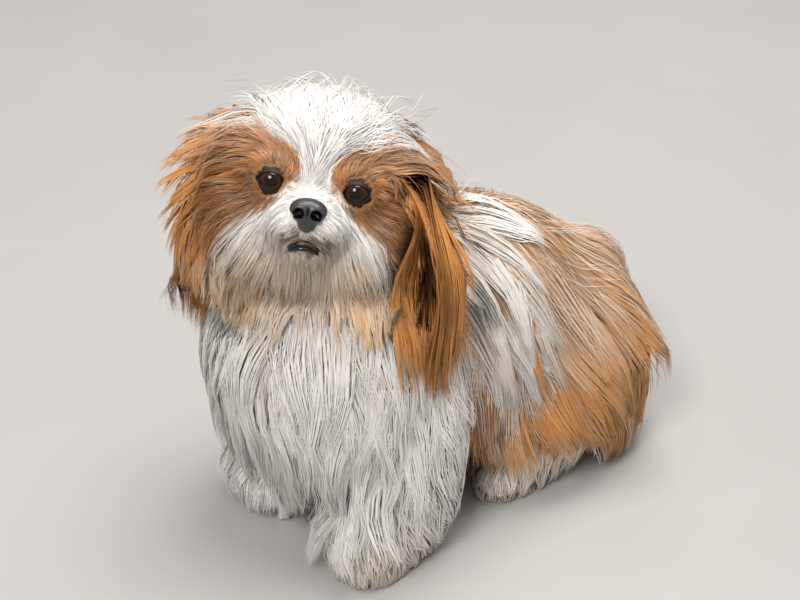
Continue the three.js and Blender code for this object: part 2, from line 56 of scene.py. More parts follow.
# Body.
PAW_SPREAD = 53
PAW_FRONT = {"left": -87, "right": -74}
SKIN_SHARE = 0.48  # of the coat's depth that is skin
HAIR_SHARE = 0.18  # of the coat's depth that the outer hair takes
LIFT_SHARE = 1 - SKIN_SHARE - HAIR_SHARE  # of the coat's depth that the underfur takes
SKIN_STEP = 2.2  # size of a cell of the skin's grid
OVER_STEP = 4.0  # size of a cell of the grids that the hair follows
SKIN_SOFTNESS = 6  # how far the parts of the skin flow into one another
SOCKET_GAP = 0.4  # between an eyeball and the skin round it
FLOOR_GAP = 0.8  # between the floor and the skin
ROOT_DEPTH = 1.2  # of a tuft's root below the skin
TUFT_FLOOR = 0.9  # lowest place of any hair
TRIANGLES_A_PIECE = 195_000
# View.
AZIMUTH, ELEVATION = 48, 36.9  # degrees
CAMERA_AT = (768.0, -694.0, 948.0)
LENS = 81


def smooth(x, low, high):
    t = np.clip((x - low) / (high - low), 0.0, 1.0)
    return t * t * (3 - 2 * t)


# The other way round: 1 below the low value and 0 above the high one.
def fade(x, low, high):
    return 1 - smooth(x, low, high)


def vector(x, y, z):
    return np.stack(np.broadcast_arrays(x, y, z), axis=-1)


def unit(v):
    return v / np.maximum(np.linalg.norm(v, axis=-1, keepdims=True), 1e-9)


def dot(a, b):
    return np.sum(a * b, axis=-1, keepdims=True)


def turn(axis, degrees):
    return np.array(Matrix.Rotation(radians(degrees), 3, axis))


def circle(steps):
    return np.linspace(0, 2 * pi, steps, endpoint=False)


# A size that's the same all over a coat.
def even(value):
    return lambda p: np.full(len(p), value)


HEAD_TURN = turn("Z", HEAD_YAW) @ turn("X", -HEAD_PITCH) @ turn("Y", HEAD_ROLL)


def to_head(p):
    return (p - HEAD_AT) @ HEAD_TURN


def from_head(q):
    return np.asarray(q, float) @ HEAD_TURN.T + HEAD_AT


# The solids stand with the middle of their footprint at the origin.
def packed_offset():
    boxes = [np.array(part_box("eye_" + side)) for side, _ in SIDES]
    middle = np.mean([box.mean(axis=0) for box in boxes], axis=0) * 1000
    return (middle - from_head((0, EYE_Y, 0))) * (1, 1, 0)


OFFSET = packed_offset()


def to_metres(p):
    return (np.asarray(p) + OFFSET) / 1000


# Distance fields: functions of points that are negative inside the form.
def ellipsoid(centre, radii):
    centre = np.array(centre, float)
    radii = np.array(radii, float)

    def field(p):
        q = p - centre
        near = np.linalg.norm(q / radii, axis=-1)
        slope = np.linalg.norm(q / radii**2, axis=-1)
        return near * (near - 1) / np.maximum(slope, 1e-9)

    return field


def capsule(a, b, radius_a, radius_b):
    a = np.array(a, float)
    along = np.array(b, float) - a

    def field(p):
        q = p - a
        t = np.clip(q @ along / (along @ along), 0, 1)
        return np.linalg.norm(q - t[..., None] * along, axis=-1) - (radius_a + (radius_b - radius_a) * t)

    return field


def merged(softness, values):
    total = values[0]
    for value in values[1:]:
        h = np.maximum(softness - np.abs(total - value), 0) / softness
        total = np.minimum(total, value) - h * h * softness / 4
    return total


def blend(softness, *fields):
    return lambda p: merged(softness, [field(p) for field in fields])


torso_flesh = blend(
    28,
    ellipsoid((-5, -41, 146), (56, 55, 76)),
    ellipsoid((-2, -8, 186), (46, 50, 40)),
    ellipsoid((2, 52, 138), (56, 78, 66)),
    ellipsoid((10, 120, 76), (73, 64, 72)),
)
neck_flesh = capsule((-4, -26, 205), (-20, -46, 262), 44, 40)
head_flesh = blend(
    10,
    ellipsoid((0, 4, 6), (47, 46, 42)),
    ellipsoid((25, -14, -20), (25, 27, 24)),
    ellipsoid((-25, -14, -20), (25, 27, 24)),
    ellipsoid((EYE_X, EYE_Y + 4, 1), (17, 13, 15)),
    ellipsoid((-EYE_X, EYE_Y + 4, 1), (17, 13, 15)),
    ellipsoid((0, -44, -20), (22, 20, 15)),
    ellipsoid((10, -50, -27), (12, 13, 9)),
    ellipsoid((-10, -50, -27), (12, 13, 9)),
    ellipsoid((0, -44, -40), (13, 14, 9)),
)


def foreleg_flesh(side, s):
    front = PAW_FRONT[side]
    toes = [
        ellipsoid((s * PAW_SPREAD + k * 9, front - 1 + 3 * k**2, 9), (6, 11, 9))
        for k in (-1.5, -0.5, 0.5, 1.5)
    ]
    return blend(
        8,
        capsule((s * 40, -38, 120), (s * 48, -50, 70), 22, 17),
        capsule((s * 48, -50, 70), (s * 51, -64, 24), 17, 15),
        ellipsoid((s * PAW_SPREAD, front + 12, 14), (20, 26, 15)),
        *toes,
    )


def hindleg_flesh(s):
    return blend(
        14,
        ellipsoid((s * 54 + 6, 92, 48), (28, 44, 40)),
        ellipsoid((s * 55 + 5, 62, 12), (16, 31, 13)),
    )


# How deep the coat is, from the flesh to the tips.
def torso_coat(p):
    front = fade(p[..., 1], -80, -10)
    right = fade(p[..., 0], -70, 10)
    low = fade(p[..., 2], 20, 110)
    hem = fade(p[..., 2], 0, 34)
    return 26 + 14 * front + 16 * front * right + 8 * low * (1 - front) - 14 * hem


def eye_distance(q):
    return np.sqrt((np.abs(q[..., 0]) - EYE_X) ** 2 + (q[..., 1] - EYE_Y) ** 2 + q[..., 2] ** 2)


# 0 on the bare parts of the face and 1 in the full coat, for points in the head's frame.
def furred(q):
    x, y, z = q[..., 0], q[..., 1], q[..., 2]
    nose = np.sqrt(x**2 + (y - NOSE_AT[1]) ** 2 + ((z - NOSE_AT[2]) * 0.8) ** 2)
    mouth = np.sqrt((x * 0.8) ** 2 + (y - MOUTH_AT[1]) ** 2 + (z - MOUTH_AT[2]) ** 2)
    return smooth(eye_distance(q), 12, 46) * smooth(nose, 14, 62) * smooth(mouth, 10, 52)


def head_coat(q):
    return furred(q) * (30 + 6 * smooth(-q[..., 2], 10, 60))


def foreleg_coat(p):
    return 10 + 9 * smooth(p[..., 2], 6, 40) + 16 * smooth(p[..., 1], -70, -30)


NECK_COAT = 20
HIND_COAT = 8


# A flat strip along a smooth curve: ears and tail.
class Strip:
    far = 60.0  # the value given well away from the strip
    margin = 40  # how far from the curve the strip is worked out
    slope = 0.7  # keeps the value below the true distance where the strip is flat

    def __init__(self, points, face, size, steps=40):
        self.centre = self.curve(np.array(points, float), steps)
        self.along = unit(np.gradient(self.centre, axis=0))
        self.across = unit(np.cross(unit(np.array(face, float)), self.along))
        self.out = unit(np.cross(self.along, self.across))
        self.t = np.linspace(0, 1, steps)
        self.width, self.thickness = (np.array([size(t)[i] for t in self.t]) for i in (0, 1))

    @staticmethod
    def curve(points, steps):
        ends = np.vstack([2 * points[0] - points[1], points, 2 * points[-1] - points[-2]])
        place = np.linspace(0, len(points) - 1 - 1e-6, steps)
        i = place.astype(int)
        t = (place - i)[:, None]
        a, b, c, d = (ends[i + k] for k in range(4))
        cubic = -a + 3 * b - 3 * c + d
        square = 2 * a - 5 * b + 4 * c - d
        return 0.5 * (2 * b + (c - a) * t + square * t**2 + cubic * t**3)

    def nearest(self, p):
        best = np.full(p.shape[:-1], np.inf)
        index = np.zeros(p.shape[:-1], int)
        for i, centre in enumerate(self.centre):
            far = np.sum((p - centre) ** 2, axis=-1)
            index = np.where(far < best, i, index)
            best = np.minimum(far, best)
        return index

    def __call__(self, p):
        low = self.centre.min(axis=0) - self.margin
        high = self.centre.max(axis=0) + self.margin
        near = np.all((p > low) & (p < high), axis=-1)
        value = np.full(p.shape[:-1], self.far)
        q = p[near]
        i = self.nearest(q)
        offset = q - self.centre[i]
        width, thickness = self.width[i], self.thickness[i]
        across = np.sum(offset * self.across[i], axis=-1) / width
        out = np.sum(offset * self.out[i], axis=-1) / thickness
        flat = np.hypot(across, out)
        beyond = np.abs(np.sum(offset * self.along[i], axis=-1))
        value[near] = np.maximum((flat - 1) * thickness * self.slope, beyond - 4)
        return value


def ear_points(s):
    base = [from_head((s * 36, 6, 22)), from_head((s * 54, 2, 18))]
    drop = [(72, -28, 262), (79, -34, 210)] if s > 0 else [(-79, -112, 268), (-85, -117, 222)]
    return [*base, *drop]


def ear_strip(s):
    face = turn("Z", HEAD_YAW) @ np.array((s * 0.75, -0.65, 0))

    def size(t):
        return 3.5 + 12 * np.sin(pi * (t * 0.85 + 0.12)), 3.4 - 1.6 * t

    return Strip(ear_points(s), face, size)


ears = {side: ear_strip(s) for side, s in SIDES}
tail_points = [(8, 150, 84), (8, 180, 104), (12, 182, 130), (26, 166, 146)]
tail_points += [(48, 148, 147), (76, 142, 130), (94, 148, 106)]
tail = Strip(tail_points, (0.55, 0.6, 0.6), lambda t: (11 - 5 * t, 9 - 4 * t))
forelegs = [foreleg_flesh(side, s) for side, s in SIDES]
hindlegs = [hindleg_flesh(s) for _, s in SIDES]


def nearer(pair, p):
    return np.minimum(*(form(p) for form in pair))


# The parts of the skin, each with its share of the coat's depth.
def skin_parts(p):
    q = to_head(p)
    share = SKIN_SHARE
    return {
        "torso": torso_flesh(p) - torso_coat(p) * share,
        "neck": neck_flesh(p) - NECK_COAT * share,
        "head": head_flesh(q) - head_coat(q) * share,
        "foreleg": nearer(forelegs, p) - foreleg_coat(p) * share,
        "hindleg": nearer(hindlegs, p) - HIND_COAT * share,
        "ear": nearer(ears.values(), p),
        "tail": tail(p),
    }


def skin_form(p):
    form = merged(SKIN_SOFTNESS, list(skin_parts(p).values()))
    socket = EYE_RADIUS + SOCKET_GAP - eye_distance(to_head(p))
    return np.maximum(np.maximum(form, socket), FLOOR_GAP - p[..., 2])


# The forms that head, ear and tail hair hang over: the body below them with most of its
# own coat, and the part itself.
def torso_cover(p, share):
    return np.minimum(torso_flesh(p) - torso_coat(p) * share, neck_flesh(p) - NECK_COAT * share)


def head_over(p):
    return merged(8, [skin_form(p), torso_cover(p, 0.6)])


def ear_over(p):
    q = to_head(p)
    head = head_flesh(q) - head_coat(q) * 0.85
    leg = nearer(forelegs, p) - foreleg_coat(p) * 0.9
    return merged(8, [head, torso_cover(p, 0.9), leg, nearer(ears.values(), p)])


def tail_over(p):
    return merged(6, [tail(p), torso_cover(p, 0.85)])


LOW = np.array([-150.0, -170.0, -8.0])
HIGH = np.array([150.0, 215.0, 385.0])


# A field sampled once on a grid and read back between its points.
class Grid:
    def __init__(self, form, step, low=LOW, high=HIGH):
        self.low, self.step = low, step
        self.count = np.ceil((high - low) / step).astype(int) + 1
        x, y, z = (low[i] + step * np.arange(self.count[i]) for i in range(3))
        slabs = []
        for near in np.array_split(x, max(1, len(x) // 12)):
            slabs.append(form(np.stack(np.meshgrid(near, y, z, indexing="ij"), axis=-1)))
        self.values = np.concatenate(slabs)
        self.slopes = np.stack(np.gradient(self.values, step), axis=-1)

    def read(self, table, p):
        place = np.clip((p - self.low) / self.step, 0, self.count - 1.001)
        i = place.astype(int)
        f = place - i
        total = 0
        for corner in np.ndindex(2, 2, 2):
            weight = np.prod(np.where(corner, f, 1 - f), axis=-1)
            value = table[tuple(np.moveaxis(i + corner, -1, 0))]
            total = total + value * (weight[..., None] if value.ndim > weight.ndim else weight)
        return total

    def __call__(self, p):
        return self.read(self.values, p)

    def outward(self, p):
        return unit(self.read(self.slopes, p))


CUBE = np.array(list(np.ndindex(2, 2, 2)))
EDGES = [(a, b) for a in range(8) for b in range(a + 1, 8) if np.abs(CUBE[a] - CUBE[b]).sum() == 1]


# Closed quads where the grid's field is zero: one point in each cell that the surface
# crosses, which is then moved nearer to the zero as many times as `rounds` says.
def surface(grid, rounds):
    inside = grid.values < 0
    shape = np.array(inside.shape) - 1
    corners = [inside[tuple(slice(c, c + n) for c, n in zip(corner, shape))] for corner in CUBE]
    crossed = np.any(corners, axis=0) & ~np.all(corners, axis=0)
    cells = np.argwhere(crossed)
    number = np.full(shape, -1)
    number[crossed] = np.arange(len(cells))
    level = np.stack([grid.values[tuple((cells + corner).T)] for corner in CUBE], axis=1)
    total = np.zeros((len(cells), 3))
    hits = np.zeros(len(cells))
    for a, b in EDGES:
        cut = (level[:, a] < 0) != (level[:, b] < 0)
        share = level[cut, a] / (level[cut, a] - level[cut, b])
        total[cut] += CUBE[a] + (CUBE[b] - CUBE[a]) * share[:, None]
        hits[cut] += 1
    points = grid.low + (cells + total / hits[:, None]) * grid.step
    quads = []
    for axis in range(3):
        u, v = np.eye(3, dtype=int)[[(axis + 1) % 3, (axis + 2) % 3]]
        here = [slice(0, -1) if i == axis else slice(1, -1) for i in range(3)]
        there = [slice(1, None) if i == axis else slice(1, -1) for i in range(3)]
        start, end = inside[tuple(here)], inside[tuple(there)]
        for leaving in (True, False):
            edge = np.argwhere((start == leaving) & (end != leaving)) + (np.arange(3) != axis)
            ring = [edge - u - v, edge - v, edge, edge - u]
            quad = np.stack([number[tuple(cell.T)] for cell in ring], axis=1)
            quads.append(quad if leaving else quad[:, ::-1])
    for _ in range(rounds):
        points = points - grid.outward(points) * grid(points)[:, None]
    return points, np.concatenate(quads)


def flat(values):
    return values.astype(np.float32).ravel()


def link(name, data):
    piece = bpy.data.objects.new(name, data)
    bpy.context.scene.collection.objects.link(piece)
    return piece


# One object from arrays.
def make_mesh(name, points, faces, material, uv=None, attributes=None, normals=None):
    """`faces` is a list of arrays of quads or triangles. `uv` holds one pair a corner."""
    mesh = bpy.data.meshes.new(name)
    mesh.vertices.add(len(points))
    mesh.vertices.foreach_set("co", flat(to_metres(points)))
    corners = np.concatenate([block.ravel() for block in faces])
    sizes = np.concatenate([np.full(len(block), block.shape[1]) for block in faces])
    mesh.loops.add(len(corners))
    mesh.loops.foreach_set("vertex_index", corners.astype(np.int32))
    mesh.polygons.add(len(sizes))
    mesh.polygons.foreach_set("loop_start", (np.cumsum(sizes) - sizes).astype(np.int32))
    mesh.polygons.foreach_set("use_smooth", np.ones(len(sizes), bool))
    mesh.update(calc_edges=True)
    if normals is not None:
        mesh.normals_split_custom_set_from_vertices(normals.astype(np.float32))
    if uv is not None:
        mesh.uv_layers.new(name="OFBake").data.foreach_set("uv", flat(uv))
    for title, values in (attributes or {}).items():
        form = "FLOAT_COLOR" if values.ndim == 2 else "FLOAT"
        field = "color" if values.ndim == 2 else "value"
        mesh.attributes.new(title, form, "POINT").data.foreach_set(field, flat(values))
    mesh.materials.append(material)
    piece = link(name, mesh)
    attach(piece, "root")
    return piece


# Materials.
class Nodes:
    def __init__(self, name):
        self.material = bpy.data.materials.new(name)
        self.material.use_nodes = True
        self.tree = self.material.node_tree
        self.shader = self.tree.nodes["Principled BSDF"]

    def add(self, kind, **inputs):
        node = self.tree.nodes.new("ShaderNode" + kind)
        for key, value in inputs.items():
            self.put(node.inputs[key.replace("_", " ")], value)
        return node

    def put(self, socket, value):
        if isinstance(value, bpy.types.NodeSocket):
            self.tree.links.new(value, socket)
        else:
            socket.default_value = value

    def mix(self, share, a, b):
        node = self.tree.nodes.new("ShaderNodeMix")
        node.data_type = "RGBA"
        for socket, value in zip((node.inputs[0], node.inputs[6], node.inputs[7]), (share, a, b)):
            self.put(socket, value)
        return node.outputs[2]

    def maths(self, operation, a, b=0.0):
        node = self.tree.nodes.new("ShaderNodeMath")
        node.operation = operation
        self.put(node.inputs[0], a)
        self.put(node.inputs[1], b)
        return node.outputs[0]

    def attribute(self, name, output="Fac"):
        node = self.tree.nodes.new("ShaderNodeAttribute")
        node.attribute_name = name
        return node.outputs[output]

    def place(self):
        return self.add("TexCoord").outputs["Object"]

    def noise(self, scale):
        return self.add("TexNoise", Vector=self.place(), Scale=scale, Detail=3.0).outputs["Fac"]

    def bump(self, height, strength, distance):
        node = self.add("Bump", Height=height, Strength=strength, Distance=distance)
        self.put(self.shader.inputs["Normal"], node.outputs["Normal"])

    def finish(self, colour, roughness, specular=0.5):
        self.put(self.shader.inputs["Base Color"], colour)
        self.shader.inputs["Roughness"].default_value = roughness
        self.shader.inputs["Specular IOR Level"].default_value = specular
        return self.material


# Colours at the root and at the tip of a tuft.
WHITE = ((0.74, 0.69, 0.63, 1), (0.88, 0.86, 0.83, 1))
ORANGE = ((0.36, 0.125, 0.03, 1), (0.64, 0.285, 0.085, 1))
CREAM = ((0.42, 0.24, 0.12, 1), (0.70, 0.47, 0.27, 1))
DARK = ((0.045, 0.022, 0.014, 1), (0.10, 0.05, 0.03, 1))


# One set of markings for skin and hair. The attribute "marks" holds how orange, how cream
# and how dark the place is (dark hair, and painted shade on the lower flank), "tone" how
# bright, and "along" runs from root to tip.
def coat_material(name, bumpy):
    nodes = Nodes(name)
    along = nodes.attribute("along")
    marks = nodes.add("SeparateColor", Color=nodes.attribute("marks", "Color"))
    speckle = nodes.noise(160.0)
    run = nodes.maths("ADD", along, nodes.maths("MULTIPLY", speckle, 0.25))
    colour = nodes.mix(run, *WHITE)
    for share, (root, tip) in zip(marks.outputs[:3], (ORANGE, CREAM, DARK)):
        colour = nodes.mix(share, colour, nodes.mix(run, root, tip))
    tone = nodes.attribute("tone")
    if bumpy:
        upright = nodes.add("Mapping", Vector=nodes.place(), Scale=(1, 1, 0.12)).outputs["Vector"]
        height = nodes.add("TexNoise", Vector=upright, Scale=1100.0, Detail=2.0).outputs["Fac"]
        tone = nodes.maths("ADD", tone, nodes.maths("MULTIPLY", height, 0.5))
        nodes.bump(height, 0.6, 0.001)
    bright = nodes.add("HueSaturation", Color=colour, Value=tone)
    return nodes.finish(bright.outputs["Color"], 0.55, 0.35)


def leather_material(name, dark, light, roughness, scale, depth):
    nodes = Nodes(name)
    pebbles = nodes.add("TexVoronoi", Vector=nodes.place(), Scale=scale).outputs["Distance"]
    nodes.bump(pebbles, 0.6, depth)
    colour = nodes.mix(nodes.noise(scale / 3), (*dark, 1), (*light, 1))
    # Painted shade: where the attribute "pit" is high, the leather goes near black, as the shade deep
    # inside the nostrils and the groove.
    colour = nodes.mix(nodes.attribute("pit"), colour, (0.0015, 0.001, 0.001, 1))
    return nodes.finish(colour, roughness)


# "ring" runs from the middle of the pupil over the brown iris to the ball's dark edge.
def eye_material():
    nodes = Nodes("eye_brown")
    ring = nodes.tree.nodes.new("ShaderNodeValToRGB")
    nodes.put(ring.inputs["Fac"], nodes.attribute("ring"))
    stops = (
        (0.0, (0.001, 0.001, 0.001)),
        (0.27, (0.002, 0.001, 0.001)),
        (0.34, (0.030, 0.009, 0.002)),
        (0.50, (0.070, 0.021, 0.005)),
        (0.60, (0.020, 0.007, 0.003)),
        (0.72, (0.006, 0.003, 0.002)),
    )
    while len(ring.color_ramp.elements) < len(stops):
        ring.color_ramp.elements.new(0.5)
    for element, (place, colour) in zip(ring.color_ramp.elements, stops):
        element.position = place
        element.color = (*colour, 1)
    streaks = nodes.mix(nodes.noise(700.0), ring.outputs["Color"], (0.02, 0.008, 0.004, 1))
    return nodes.finish(streaks, 0.04, 0.33)


SKIN_MATERIAL = coat_material("skin_and_underfur", True)
HAIR_MATERIAL = coat_material("hair", False)
# Dark and light colour, roughness, pebbles to a metre, and depth of the pebbles in metres.
LEATHERS = {
    "eye_rim": ((0.006, 0.004, 0.004), (0.018, 0.010, 0.008), 0.6, 900.0, 0.0003),
    "nose_leather": ((0.022, 0.020, 0.023), (0.060, 0.055, 0.060), 0.3, 1100.0, 0.0002),
    "lip": ((0.005, 0.003, 0.003), (0.018, 0.010, 0.010), 0.22, 700.0, 0.0003),
    "lip_edge": ((0.16, 0.06, 0.05), (0.30, 0.13, 0.11), 0.3, 700.0, 0.0003),
    "claw": ((0.05, 0.035, 0.03), (0.12, 0.09, 0.075), 0.3, 400.0, 0.0002),
}
LEATHER = {name: leather_material(name, *values) for name, values in LEATHERS.items()}


# Markings. White, with orange over the eyes, cheeks, ears, flank and tail, and a cream
# stain round the mouth. `wander` is a clump's own number from 0 to 1, which frays the edges.
def shares(orange, cream, dark):
    return vector(orange, np.clip(cream, 0, 1), dark)


def head_marks(p, wander):
    q = to_head(p)
    x = np.abs(q[..., 0]) + 3 * wander
    y, z = q[..., 1], q[..., 2] + 3 * wander
    top = np.interp(x, (8, 18, 34, 42, 50, 56), (14, 24, 31, 34, 50, 90))
    bottom = np.interp(x, (14, 20, 28, 38, 45, 52, 62), (4, -4, -12, -20, -26, -33, -44))
    inner = np.interp(z, (-8, 2, 14), (17, 13, 9))
    patch = smooth(top - z, -3, 3) * smooth(z - bottom, -3, 4) * smooth(x - inner, -2, 3)
    back = smooth(y, 0, 30) * smooth(x, 24, 34)
    orange = np.maximum(patch, back)
    eye = eye_distance(q)
    brow = smooth(z, 4, 26) * smooth(-y, 0, 25)
    pale = 0.14 * brow + 0.30 * smooth(wander, 0.6, 1.0)
    low = smooth(-z, 16, 46) * smooth(-y, -20, 25)
    cream = low * (0.45 + 0.5 * smooth(x, 6, 40)) * (0.5 + wander)
    lips = np.hypot(q[..., 0] / 13, (q[..., 2] - MOUTH_AT[2] - 3) / 10)
    lips = (1.3 - lips) * smooth(-y, 35, 48)
    dark = 0.85 * smooth(lips - 0.9 * wander, -0.12, 0.12)
    outer = orange * fade(eye, 16, 46) * smooth(-z, -14, 6)
    dark = np.maximum(dark, outer * (0.25 + 0.35 * smooth(x, 26, 36)))
    dark = np.maximum(dark, 0.85 * fade(eye, 11.5, 15.5))
    return shares(orange * (1 - pale), cream * (1 - orange), dark)


# How far back along the spine a strand that passes this place has its root.
def spine_place(p):
    slope = np.interp(p[..., 1], (-20, 40, 110), (0.05, 0.22, 0.45))
    return p[..., 1] - slope * np.maximum(200 - p[..., 2], 0)


def body_marks(p, wander):
    y, z = p[..., 1], p[..., 2]
    spine = spine_place(p)
    chance = np.interp(spine, (-36, -18, -4, 8, 34, 48, 66), (0.0, 0.5, 0.6, 0.36, 0.5, 0.9, 0.97))
    low = 0.97 * fade(z, 140, 180) * smooth(y, -8, 10)
    orange = smooth(np.maximum(chance, low) - wander, -0.05, 0.05)
    foot = fade(z, 40, 50) * fade(y, 108, 120)
    top = smooth(z, 150, 200)
    pale = (0.15 + 0.35 * smooth(wander, 0.3, 0.9)) * top
    orange = orange * (1 - foot) * (1 - pale)
    dust = 0.25 * fade(z, 0, 50) * fade(y, 20, 60)
    near = 0.5 * smooth(y, -30, -5) * wander
    # Painted shade: the orange darkens lower on the body, where less of the top light falls.
    painted_shade = 0.22 * orange * fade(z, 60, 150)
    return shares(orange, np.maximum(dust, near), painted_shade)


def ear_marks(p, wander):
    low = smooth(-p[..., 2], -290, -190)
    dark = smooth(wander, 0.5, 0.9) * (0.05 + 0.5 * low)
    return shares(1, 0, dark)


def tail_marks(p, wander):
    orange = 1 - 0.8 * smooth(wander, 0.86, 0.93)
    return shares(orange, 0, 0)


def leg_marks(p, wander):
    dust = (0.24 + 0.3 * wander) * fade(p[..., 2], 5, 70)
    return shares(0, dust, 0)


def hind_marks(p, wander):
    marks = leg_marks(p, wander)
    marks[..., 0] = smooth(p[..., 2] + 6 * wander, 44, 56)
    return marks


def tress_marks(p, wander):
    gold = smooth(wander, 0.75, 0.8)
    cream = 0.45 * wander
    return shares(gold, cream * (1 - gold), 0)


# The skin, and where its tufts may grow.
class Skin:
    wander = 0.2
    tone, orange_tone = 0.72, -0.17  # how bright the skin is, and what orange adds to it

    def __init__(self):
        self.points, self.quads = surface(Grid(skin_form, SKIN_STEP), 2)
        points = self.points
        values = skin_parts(points)
        self.names = list(values)
        self.part = np.argmin(list(values.values()), axis=0)
        socket = eye_distance(to_head(points)) < EYE_RADIUS + 3
        self.part[socket] = self.names.index("head")
        self.piece = self.build()
        corners = np.arange(self.quads.size).reshape(-1, 4)
        self.triangles, self.corners = (
            np.concatenate([four[:, (0, 1, 2)], four[:, (0, 2, 3)]]) for four in (self.quads, corners)
        )
        a, b, c = (points[self.triangles[:, i]] for i in range(3))
        self.area = np.linalg.norm(np.cross(b - a, c - a), axis=1) / 2
        self.centre = (a + b + c) / 3
        self.triangle_part = self.part[self.triangles[:, 0]]

    def build(self):
        marks = np.zeros((len(self.points), 4))
        marks[:, 3] = 1
        for i, name in enumerate(self.names):
            mine = self.part == i
            wander = np.full(mine.sum(), self.wander)
            marks[mine, :3] = PARTS[name][0](self.points[mine], wander) * (1, 1, 0.6)
        attributes = {
            "marks": marks,
            "along": np.full(len(self.points), 0.3),
            "tone": self.tone + self.orange_tone * marks[:, 0],
        }
        piece = make_mesh("skin", self.points, [self.quads], SKIN_MATERIAL, None, attributes)
        piece.data.uv_layers.new(name="OFBake")
        bpy.context.view_layer.objects.active = piece
        piece.select_set(True)
        bpy.ops.object.mode_set(mode="EDIT")
        bpy.ops.mesh.select_all(action="SELECT")
        bpy.ops.uv.smart_project(angle_limit=radians(66), island_margin=0.002)
        bpy.ops.object.mode_set(mode="OBJECT")
        piece.select_set(False)
        self.uv = np.empty(self.quads.size * 2, np.float32)
        piece.data.uv_layers["OFBake"].data.foreach_get("uv", self.uv)
        self.uv = self.uv.reshape(-1, 2)
        return piece

    def scatter(self, part, count, weight, random):
        """Root points on one part of the skin, and their places on its unwrap."""
        mine = self.triangle_part == self.names.index(part)
        chance = np.where(mine, self.area * np.maximum(weight(self.centre), 0), 0)
        pick = random.choice(len(chance), count, p=chance / chance.sum())
        u, v = random.random((2, count, 1))
        u, v = np.where(u + v > 1, 1 - u, u), np.where(u + v > 1, 1 - v, v)
        a, b, c = (self.points[self.triangles[pick, i]] for i in range(3))
        ua, ub, uc = (self.uv[self.corners[pick, i]] for i in range(3))
        return a + (b - a) * u + (c - a) * v, ua + (ub - ua) * u + (uc - ua) * v


def nearest_of(points, leaders):
    found = np.empty(len(points), int)
    for rows in np.array_split(np.arange(len(points)), max(1, len(points) // 400)):
        far = np.sum((points[rows, None] - leaders[None]) ** 2, axis=-1)
        found[rows] = np.argmin(far, axis=1)
    return found


DOWN = np.array([0.0, 0.0, -1.0])
RISE = 0.6  # power by which a tuft climbs to its height
DROOP = 0.3  # share of its height that a tuft gives up at its tip
LEAST_ROOM = 1.2  # least depth of a layer of tufts
STEEPEST = -0.2  # a surface that faces down more than this lets its hair hang
PATCH = 0.003  # of the unwrap that one tuft takes


# The ways that the coat lies.
def lie_torso(p, normal):
    side = np.tanh((p[:, 0] + 4) / 12)
    top = np.maximum(0, normal[:, 2])
    front = fade(p[:, 1], -70, -20)
    back = np.interp(p[:, 1], (-40, 20, 80, 130), (0.05, 0.16, 0.42, 0.4))
    x = side * (0.12 + 0.8 * top) * (1 - 0.6 * front)
    return vector(x, back * (1 - front) + 0.2 * top - 0.1 * front, -1)


def lie_neck(p, normal):
    return normal * (0.5, 0.5, 0) + DOWN


def lie_head(p, normal):
    q = to_head(p)
    crown = smooth(q[:, 2], 0, 40)
    away = unit(vector(q[:, 0], 0, q[:, 2] + 10))
    away[:, 1] = 0.9 * crown
    eye = vector(q[:, 0] - np.sign(q[:, 0]) * EYE_X, 0, q[:, 2])
    reach = np.linalg.norm(eye, axis=1, keepdims=True)
    away = away + unit(eye) * 1.6 * fade(reach, 10, 26)
    lip = muzzle(q) * fade(np.abs(q[:, 0]), 10, 24) * smooth(q[:, 2], MOUTH_AT[2] - 12, MOUTH_AT[2])
    away[:, 0] += 1.5 * np.sign(q[:, 0]) * lip
    outer = np.maximum(smooth(np.abs(q[:, 0]), 28, 58), smooth(q[:, 1], 8, 36))
    fall = 0.55 - 0.3 * crown + 1.3 * outer
    return away @ HEAD_TURN.T + DOWN * fall[:, None]


def lie_leg(p, normal):
    return vector(0.1 * np.sign(p[:, 0]), 0.15, -1)


def lie_hind(p, normal):
    return vector(0.4 * np.sign(p[:, 0]), -0.3, -1)


# Ear hair follows the ear, then falls to a point on the left and spreads on the right.
def lie_ear(p, normal):
    left, right = (ears[side].along[ears[side].nearest(p)] for side, _ in SIDES)
    low = fade(p[:, 2:], 190, 250)
    inward = np.array((66.0, -44.0, 0.0)) - p * (1, 1, 0)
    left = left + inward * (low * 0.003 + 0.0035 * (1 - low))
    right = right + np.array((-0.04, -0.045, 0)) * low
    return np.where(to_head(p)[:, :1] > 0, left, right)


def lie_tail(p, normal):
    return tail.along[tail.nearest(p)] * 0.8 + (0.35, 0.15, -0.7)


# 1 on the front of the muzzle below the bridge of the nose.
def muzzle(q):
    return smooth(-q[:, 1], 26, 42) * smooth(-q[:, 2], 0, 14)


# How far the underfur lifts the outer hair above the skin. On the crown there's hardly any.
def head_lift(p):
    q = to_head(p)
    return head_coat(q) * (LIFT_SHARE - 0.29 * smooth(q[..., 2], 14, 46))


# The marks of each part of the body, how its coat lies, and how far the underfur lifts it.
PARTS = {
    "torso": (body_marks, lie_torso, lambda p: torso_coat(p) * LIFT_SHARE),
    "neck": (body_marks, lie_neck, even(NECK_COAT * LIFT_SHARE)),
    "head": (head_marks, lie_head, head_lift),
    "foreleg": (leg_marks, lie_leg, lambda p: foreleg_coat(p) * LIFT_SHARE),
    "hindleg": (hind_marks, lie_hind, even(HIND_COAT * LIFT_SHARE)),
    "ear": (ear_marks, lie_ear, even(0.0)),
    "tail": (tail_marks, lie_tail, even(0.0)),
}


